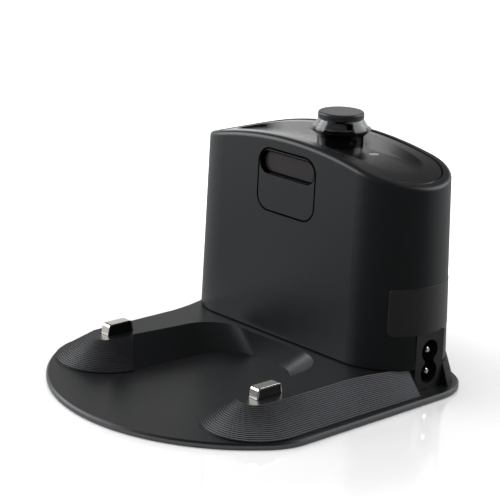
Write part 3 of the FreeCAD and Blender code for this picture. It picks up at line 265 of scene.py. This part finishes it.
towerBlack, deckBlack = (0.007, 0.0073, 0.0081), (0.0062, 0.0064, 0.007)
screwGrey = (0.5, 0.5, 0.51)
satinTint = (0.93, 0.98, 1.0)  # the satin plastic's highlights are slightly cold
looks = {
    "tower_plastic": moulded("tower plastic", towerBlack, rough=0.36, scale=4600, height=0.05, edge=0.0003,
                             tint=satinTint),
    "deck_plastic": moulded("deck plastic", deckBlack, rough=0.36, scale=5200, height=0.03, tint=satinTint),
    "cover_plastic": moulded("cover plastic", (0.012, 0.012, 0.0125), rough=0.5, height=0.14),
    "gloss_black": moulded("gloss black", (0.005, 0.005, 0.0048), rough=0.24, spread=0.03, coat=0.8),
    "beacon_black": moulded("beacon black", (0.004, 0.004, 0.0042), rough=0.12, scale=400, height=0.004,
                            spread=0.02),
    "clear_lens": clear("clear lens", (0.34, 0.36, 0.37), rough=0.015),
    "cap_grey": moulded("cap grey", (0.016, 0.0165, 0.0165), rough=0.32, scale=1800, height=0.05),
    "reflector_silver": metal("reflector silver", (0.3, 0.3, 0.3), rough=0.12),
    "indicator_clear": clear("indicator clear", (0.27, 0.285, 0.28), rough=0.2, weight=0.3),
    "bezel_black": moulded("bezel black", towerBlack, rough=0.36, scale=4600, height=0.05, tint=satinTint),
    "ir_dark": moulded("infrared dark", (0.013, 0.0095, 0.01), rough=0.3, scale=600, height=0.01),
    "contact_nickel": metal("contact nickel", (0.95, 0.91, 0.84), rough=0.2, edge=0.0003),
    "slider_plastic": moulded("slider plastic", (0.006, 0.006, 0.0062), rough=0.45),
    "spring_steel": metal("spring steel", (0.6, 0.6, 0.6), rough=0.25),
    "inlet_plastic": moulded("inlet plastic", (0.005, 0.005, 0.0053), rough=0.45, scale=1700),
    "pin_nickel": metal("pin nickel", (0.84, 0.83, 0.8), rough=0.22),
    "rubber_dark": moulded("rubber dark", (0.012, 0.012, 0.012), rough=0.75, scale=900, height=0.2),
    "screw_steel": metal("screw steel", screwGrey, rough=0.3),
    "board_green": moulded("board green", (0.02, 0.12, 0.05), rough=0.35),
    "tape_yellow": moulded("tape yellow", (0.6, 0.43, 0.06), rough=0.4),
    "capacitor_sleeve": moulded("capacitor sleeve", (0.015, 0.02, 0.07), rough=0.3, coat=0.3),
    "choke_copper": metal("choke copper", (0.62, 0.28, 0.14), rough=0.3),
    "chip_black": moulded("chip black", (0.012, 0.012, 0.012), rough=0.5),
    "fuse_sleeve": moulded("fuse sleeve", (0.4, 0.4, 0.38), rough=0.35),
    "sink_aluminium": metal("sink aluminium", (0.74, 0.75, 0.77), rough=0.35),
    "connector_white": moulded("connector white", (0.75, 0.74, 0.69), rough=0.45),
    "diode_clear": clear("diode clear", (0.7, 0.75, 0.9), rough=0.08, weight=0.8),
    "label_film": moulded("label film", (0.014, 0.014, 0.0145), rough=0.33, scale=2200, height=0.03,
                          spread=0.03),
}

# Painted shade: a black band is painted along the window seam, and a painted shadow along the edge of the sunk
# slot
slotSizes = {"Height": 0.08085, "HalfX": 0.0151, "HalfZ": 0.00435, "Corner": 0.0042}
slotShadowBands = {"bezel_black": {"Inner": -0.0003, "Outer": 0.0004}, "ir_dark": {"Inner": -0.0005, "Outer": 0.002}}
paintedShadeBlack = (0.0004, 0.0004, 0.0004, 1)
for name in ("tower_plastic", "bezel_black", "ir_dark"):
    tree, shader = nodesOf(looks[name])
    # dark is the mask of the painted shade
    dark = useGroup(tree, seam)["Mask"]
    if name in slotShadowBands:
        dark = mathNode(tree, "MAXIMUM", dark, useGroup(tree, seam, **slotSizes, **slotShadowBands[name])["Mask"])
    own = tuple(shader.inputs["Base Color"].default_value)
    feedAll(tree, shader, {"Base Color": blend(tree, dark, own, paintedShadeBlack), "Metallic": dark})

# Terraces: the upright faces of the ridge, all but the lowest, carry a painted highlight and look paler where
# they would catch the light, as does the plate's rim
terraceSizes = {
    "low": 0.00287, "high": 0.01148,  # heights between which the steps are marked
    "upright": 0.15,  # the most that an upright face's normal may rise
    "notch": (0.0388, 0.0564),  # front and back of the inlet notch
    "bayHalf": 0.045, "bayFront": -0.02,  # the bay's back wall stays plain
    "noseFade": (-0.03, 0.0, 1.0, 0.0),  # from front to back, how much the nose fades upward
    "topShare": 0.45,  # what is left on the nose's top step
    "rearFade": (0.036, 0.06, 1.0, 0.0),  # from front to back, share at each
    "innerFade": (0.028, 0.046, 0.3, 1.0),  # distance from the middle plane, share at each
    "rimTop": 0.00225, "rimShare": 0.45,
    # plain is the deck's own black, pale is the painted highlight
    "plain": (*deckBlack, 1), "pale": (0.165, 0.167, 0.182, 1),
}
deckTree, deckShader = nodesOf(looks["deck_plastic"])
deckX, deckY, deckZ = split(deckTree, objectSpot(deckTree))


def deckMath(operation, first, second=0.0):
    return mathNode(deckTree, operation, first, second)


def deckRamp(value, sizes):
    return ramp(deckTree, value, *sizes)


aside = deckMath("ABSOLUTE", deckX)
lean = split(deckTree, addNode(deckTree, "ShaderNodeNewGeometry").outputs["Normal"])[2]
upright = deckMath("LESS_THAN", deckMath("ABSOLUTE", lean), terraceSizes["upright"])
notchFront, notchBack = terraceSizes["notch"]
fromNotch = deckMath("ABSOLUTE", deckMath("SUBTRACT", deckY, (notchFront + notchBack) / 2))
offNotch = deckMath("GREATER_THAN", fromNotch, (notchBack - notchFront) / 2)
noseDim = product(deckTree, [
    deckRamp(deckY, terraceSizes["noseFade"]),
    deckRamp(deckZ, (terraceSizes["low"], terraceSizes["high"], 0.0, 1 - terraceSizes["topShare"])),
])
terraceHighlight = product(deckTree, [
    deckMath("SUBTRACT", 1.0, noseDim),
    upright,
    deckMath("GREATER_THAN", deckZ, terraceSizes["low"]),
    deckMath("LESS_THAN", deckZ, terraceSizes["high"]),
    deckMath("MAXIMUM", offNotch, deckMath("LESS_THAN", deckX, 0.0)),  # the notch is on the right alone
    deckRamp(deckY, terraceSizes["rearFade"]),
    deckRamp(aside, terraceSizes["innerFade"]),
    deckMath("MAXIMUM", deckMath("LESS_THAN", deckY, terraceSizes["bayFront"]),
             deckMath("GREATER_THAN", aside, terraceSizes["bayHalf"])),
])
rimHighlight = product(deckTree, [upright, deckMath("LESS_THAN", deckZ, terraceSizes["rimTop"]),
                              terraceSizes["rimShare"]])
paintedHighlightShare = deckMath("ADD", terraceHighlight, rimHighlight)
feed(deckTree, deckShader, "Base Color",
     blend(deckTree, paintedHighlightShare, terraceSizes["plain"], terraceSizes["pale"]))

# Top cover: its reflections bend as on one arch, whose normal leans by x over the arch's radius
coverSizes = {"radius": 0.2, "share": 0.9}
coverTree, coverShader = nodesOf(looks["gloss_black"])
coverX = split(coverTree, objectSpot(coverTree))[0]
arch = addNode(coverTree, "ShaderNodeCombineXYZ")
feedAll(coverTree, arch, {"X": mathNode(coverTree, "DIVIDE", coverX, coverSizes["radius"]), "Z": 1.0})
ownNormal = addNode(coverTree, "ShaderNodeNewGeometry").outputs["Normal"]
eased = blend(coverTree, coverSizes["share"], ownNormal, arch.outputs["Vector"], "VECTOR")
bent = vectorMath(coverTree, "NORMALIZE", eased)
feedAll(coverTree, coverShader, {"Normal": bent, "Coat Normal": bent})

# Screw heads: crosses at the four places where the bottom cover is fixed, with painted shade in their recesses
screwSizes = {
    "armPlace": (0.0437, 0.006), "rearPlace": (0.02, 0.0614), "reach": 0.0015, "half": 0.00042,
    # recess is the painted shade inside each cross
    "steel": (*screwGrey, 1), "recess": (0.02, 0.02, 0.02, 1),
}
screwTree, screwShader = nodesOf(looks["screw_steel"])
marks = [useGroup(screwTree, cross, CentreX=place[0], CentreY=place[1], Reach=screwSizes["reach"],
                  Half=screwSizes["half"])["Mask"]
         for place in (screwSizes["armPlace"], screwSizes["rearPlace"])]
feed(screwTree, screwShader, "Base Color",
     blend(screwTree, mathNode(screwTree, "MAXIMUM", *marks), screwSizes["steel"], screwSizes["recess"]))

for row in frame["record"]["subparts"]:
    for cell in frame["nodes"][row["node"]].material_slots:
        cell.material = looks[row["material_slot"]]
print("stage: looks set,", len(looks))


def newMesh(name, points, faces, smooth=True):
    mesh = bpy.data.meshes.new(name)
    mesh.from_pydata(points.tolist(), [], faces)
    mesh.polygons.foreach_set("use_smooth", [smooth] * len(mesh.polygons))
    mesh.update()
    piece = bpy.data.objects.new(name, mesh)
    scene.collection.objects.link(piece)
    return piece


# Blank sticker round the tower's right end
stickerSizes = {
    "endCentre": (0.0376, 0.0469), "footRadius": 0.0232, "footHeight": 0.0115, "draft": 1.6,  # the end's cone
    "low": 0.0254, "high": 0.0439, "angles": (-47.0, 46.0), "corner": 0.0018,
    "lift": 0.00012, "sink": 0.00006,  # how far its two skins lie outside and inside the wall
    "rows": 25, "columns": 49,
}


def sticker(sizes):
    # a cone whose radius shrinks with height; each row's half length is the full half length less the bite of
    # a corner circle, and the two skins are closed by a strip round the edge
    low, high, corner, rows, columns = (sizes[name] for name in ("low", "high", "corner", "rows", "columns"))
    first, last = np.radians(sizes["angles"])
    turn = np.linspace(-math.pi / 2, math.pi / 2, rows)
    rise = (low + high) / 2 + np.sin(turn) * (high - low) / 2
    gap = np.maximum(corner - np.minimum(rise - low, high - rise), 0)
    bite = corner - np.sqrt(np.maximum(corner ** 2 - gap ** 2, 0))
    middle, reach = (first + last) / 2, (last - first) / 2 - bite / sizes["footRadius"]
    angle = middle + reach[:, None] * np.linspace(-1, 1, columns)[None, :]
    height = np.repeat(rise[:, None], columns, axis=1)
    wall = sizes["footRadius"] - (height - sizes["footHeight"]) * math.tan(math.radians(sizes["draft"]))
    centreX, centreY = sizes["endCentre"]
    skins = [np.stack((centreX + radius * np.cos(angle), centreY + radius * np.sin(angle), height),
                      axis=-1).reshape(-1, 3)
             for radius in (wall + sizes["lift"], wall - sizes["sink"])]
    count = rows * columns
    index = np.arange(count).reshape(rows, columns)
    outer = np.stack((index[:-1, :-1], index[:-1, 1:], index[1:, 1:], index[1:, :-1]), axis=-1).reshape(-1, 4)
    inner = outer[:, ::-1] + count
    border = np.concatenate((index[0, :], index[1:, -1], index[-1, -2::-1], index[-2:0:-1, 0]))
    following = np.roll(border, -1)
    edge = np.stack((border, border + count, following + count, following), axis=-1)
    return np.concatenate(skins), np.concatenate((outer, inner, edge)).tolist()


label = newMesh("blank_label", *sticker(stickerSizes))
label.data.materials.append(looks["label_film"])
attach(label, "dock")
print("stage: sticker made")

# Contact springs: each stands on the bottom cover, in place of the part's own spring
coilSizes = {
    "centre": (0.0437, -0.0225), "low": 0.0022, "high": 0.0074, "radius": 0.0023, "wire": 0.00025, "turns": 4,
    "travel": 0.0024, "steps": 36, "sides": 10,
}


def coil(sizes, centreX):
    # a round wire whose centre line climbs evenly as it turns, each ring of the wire set across that line
    count, sides, wire = sizes["turns"] * sizes["steps"] + 1, sizes["sides"], sizes["wire"]
    turn = np.linspace(0, 2 * math.pi * sizes["turns"], count)
    slope = (sizes["high"] - sizes["low"] - 2 * wire) / turn[-1]
    level = np.zeros(count)
    outward = np.stack((np.cos(turn), np.sin(turn), level), axis=-1)
    along = np.stack((-sizes["radius"] * np.sin(turn), sizes["radius"] * np.cos(turn), level + slope), axis=-1)
    along /= np.linalg.norm(along, axis=1)[:, None]
    across = np.cross(along, outward)
    middle = np.array((centreX, sizes["centre"][1], sizes["low"] + wire)) + outward * sizes["radius"]
    middle[:, 2] += slope * turn
    angle = np.linspace(0, 2 * math.pi, sides, endpoint=False)[None, :, None]
    ring = np.cos(angle) * outward[:, None, :] + np.sin(angle) * across[:, None, :]
    index = np.arange(count * sides).reshape(count, sides)
    beside = np.roll(index, -1, axis=1)
    walls = np.stack((index[:-1], beside[:-1], beside[1:], index[1:]), axis=-1).reshape(-1, 4).tolist()
    ends = [index[0, ::-1].tolist(), index[-1].tolist()]
    return (middle[:, None, :] + wire * ring).reshape(-1, 3), walls + ends


for side, sign in (("left", -1), ("right", 1)):
    centreX = sign * coilSizes["centre"][0]
    spring = newMesh(f"coil_{side}", *coil(coilSizes, centreX))
    spring.data.materials.append(looks["spring_steel"])
    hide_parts(f"contact_spring_{side}")
    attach(spring, "dock")
    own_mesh(spring)
print("stage: springs made")

# Stage: pale floor, soft light and the camera
stageSizes = {
    "floorHalf": 6.0,
    "floorColour": (0.95, 0.95, 0.95),
    "floorRough": 0.06,
    "floorIor": 4.6,
    "floorGlow": (0.2, 1.0, 0.55, 1.0),  # near and far distance, brightness in reflections at each
    "footGlow": (0.075, 0.095, 0.9, 0.0),  # the same, added close round the dock
    "floorMirror": (0.095, 0.18, 0.5, 0.0),  # near and far distance, strength of the mirror image at each
    "ambient": (0.3, 0.3, 0.3),
    "ceiling": {"place": (-0.3, -0.15, 1.0), "angle": 110, "power": 3.0},
    "ceilingTarget": (0, 0, 0),
    "key": {"place": (-0.815, -0.529, 0.516), "width": 1.0, "height": 0.7, "power": 8.5},
    "rim": {"place": (0.433, 0.814, 0.6), "width": 0.9, "height": 0.72, "power": 5.1},
    "side": {"place": (-0.79, 0.42, 0.66), "width": 0.5, "height": 0.5, "power": 1.8},
    "lampTarget": (0, 0, 0.04),
    "cameraPlace": (0.5028, -0.4544, 0.2567),
    "cameraBack": (0.7060, -0.6469, 0.2885),  # from the scene to the camera
    "cameraRoll": 1.79,
    "cameraLens": 133.26,
    "cameraSensor": 36.0,
    "cameraShift": (0.0050, -0.0018),
    "cameraClip": (0.05, 30),
}

half = stageSizes["floorHalf"]
floorPoints = np.array([(-half, -half, 0), (half, -half, 0), (half, half, 0), (-half, half, 0)])
floor = newMesh("floor", floorPoints, [(0, 1, 2, 3)], False)
floorLook, floorTree, floorShader = newLook("pale floor")
floorSpot = objectSpot(floorTree)
away = vectorMath(floorTree, "LENGTH", floorSpot)
feedAll(floorTree, floorShader, {
    "Base Color": (*stageSizes["floorColour"], 1),
    "Roughness": stageSizes["floorRough"],
    "IOR": stageSizes["floorIor"],
    "Specular IOR Level": ramp(floorTree, away, *stageSizes["floorMirror"]),
})
shine = mathNode(floorTree, "ADD", ramp(floorTree, away, *stageSizes["floorGlow"]),
                 ramp(floorTree, away, *stageSizes["footGlow"]))
floorRay = useGroup(floorTree, glow, Direction=floorSpot)["Value"]
lit = addNode(floorTree, "ShaderNodeEmission")
feed(floorTree, lit, "Color", product(floorTree, [shine, floorRay]))
mirrored = addNode(floorTree, "ShaderNodeMixShader")  # in reflections the floor glows
feedAll(floorTree, mirrored, {
    0: addNode(floorTree, "ShaderNodeLightPath").outputs["Is Glossy Ray"],
    1: floorShader.outputs["BSDF"],
    2: lit.outputs["Emission"],
})
below = addNode(floorTree, "ShaderNodeMixShader")  # seen from below the floor is clear
feedAll(floorTree, below, {
    0: addNode(floorTree, "ShaderNodeNewGeometry").outputs["Backfacing"],
    1: mirrored.outputs["Shader"],
    2: addNode(floorTree, "ShaderNodeBsdfTransparent").outputs["BSDF"],
})
feed(floorTree, floorTree.nodes["Material Output"], "Surface", below.outputs["Shader"])
floor.data.materials.append(floorLook)

world = bpy.data.worlds.new("studio")
scene.world = world
world.use_nodes = True
worldTree = world.node_tree
around = addNode(worldTree, "ShaderNodeTexCoord").outputs["Generated"]
reflected = useGroup(worldTree, glow, Direction=around)["Value"]
glossy = addNode(worldTree, "ShaderNodeLightPath").outputs["Is Glossy Ray"]
feed(worldTree, worldTree.nodes["Background"], "Color",
     blend(worldTree, glossy, (*stageSizes["ambient"], 1), reflected))


def newLamp(name, kind, power, place, target):
    lampData = bpy.data.lights.new(name, kind)
    lampData.energy = power
    lamp = bpy.data.objects.new(name, lampData)
    scene.collection.objects.link(lamp)
    lamp.location = place
    lamp.rotation_mode = "QUATERNION"
    lamp.rotation_quaternion = (Vector(target) - Vector(place)).to_track_quat("-Z", "Y")
    return lamp


ceiling = stageSizes["ceiling"]
sun = newLamp("ceiling", "SUN", ceiling["power"], ceiling["place"], stageSizes["ceilingTarget"])
sun.data.angle = math.radians(ceiling["angle"])
sun.visible_glossy = False
lamps = {}
for name in ("key", "rim", "side"):
    sizes = stageSizes[name]
    lamp = newLamp(name, "AREA", sizes["power"], sizes["place"], stageSizes["lampTarget"])
    lamp.data.shape = "RECTANGLE"
    lamp.data.size, lamp.data.size_y = sizes["width"], sizes["height"]
    lamps[name] = lamp
sideLit = bpy.data.collections.new("lit by the side lamp")
sideLit.objects.link(frame["nodes"]["top_cover"])
lamps["side"].light_linking.receiver_collection = sideLit  # it lights the gloss panel alone

cameraData = bpy.data.cameras.new("camera")
cameraData.lens = stageSizes["cameraLens"]
cameraData.sensor_width = stageSizes["cameraSensor"]
cameraData.shift_x, cameraData.shift_y = stageSizes["cameraShift"]
cameraData.clip_start, cameraData.clip_end = stageSizes["cameraClip"]
camera = bpy.data.objects.new("camera", cameraData)
scene.collection.objects.link(camera)
scene.camera = camera
back = Vector(stageSizes["cameraBack"]).normalized()
level = Vector((-back.y, back.x, 0)).normalized()
upward = back.cross(level)
roll = math.radians(stageSizes["cameraRoll"])
right = level * math.cos(roll) + upward * math.sin(roll)
above = upward * math.cos(roll) - level * math.sin(roll)
turn = Matrix((right, above, back)).transposed().to_4x4()
camera.matrix_world = Matrix.Translation(stageSizes["cameraPlace"]) @ turn
scene.view_settings.view_transform = "Standard"
print("stage: lights and camera set")
